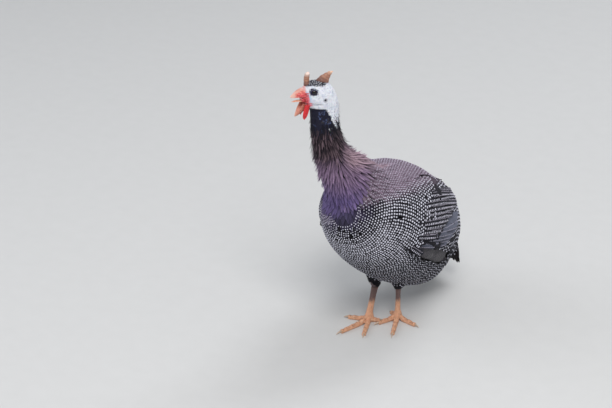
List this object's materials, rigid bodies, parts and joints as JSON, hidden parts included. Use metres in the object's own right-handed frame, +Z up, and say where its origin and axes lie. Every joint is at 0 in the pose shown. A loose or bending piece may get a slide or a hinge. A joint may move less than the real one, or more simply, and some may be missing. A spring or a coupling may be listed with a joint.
{
  "type": "helmeted guinea fowl",
  "caption": "Life-size helmeted guinea fowl that stands calling, with spotted plumage, drooping tail, bony casque and red wattles.",
  "frame": {"origin": "on the floor, in the middle of the outline seen from above", "axes": "+Z up, -Y the way the bird's breast faces, +X its left side"},
  "size_m": [0.1976, 0.3658, 0.477],
  "materials": {
    "bill": "satin horn",
    "claw": "satin horn",
    "eye": "glossy",
    "face": "matt bare skin",
    "horn": "dry bony horn",
    "plumage": "matt, soft, spotted with white",
    "shank": "dry scales",
    "toe_skin": "dry scales",
    "tongue": "moist",
    "wattle": "satin bare skin"
  },
  "bodies": {
    "root": {"beak_lower": "bill", "beak_upper": "bill", "brow_knob": "horn", "casque": "horn", "claw_left_hind": "claw", "claw_left_inner": "claw", "claw_left_middle": "claw", "claw_left_outer": "claw", "claw_right_hind": "claw", "claw_right_inner": "claw", "claw_right_middle": "claw", "claw_right_outer": "claw", "eye_left": "eye", "eye_right": "eye", "foot_left": "toe_skin", "foot_right": "toe_skin", "head": "face", "neck": "plumage", "shank_left": "shank", "shank_right": "shank", "tail": "plumage", "thigh_left": "plumage", "thigh_right": "plumage", "tongue": "tongue", "torso": "plumage", "wattle_left": "wattle", "wattle_right": "wattle", "wing_left": "plumage", "wing_right": "plumage"}
  },
  "joints": []
}
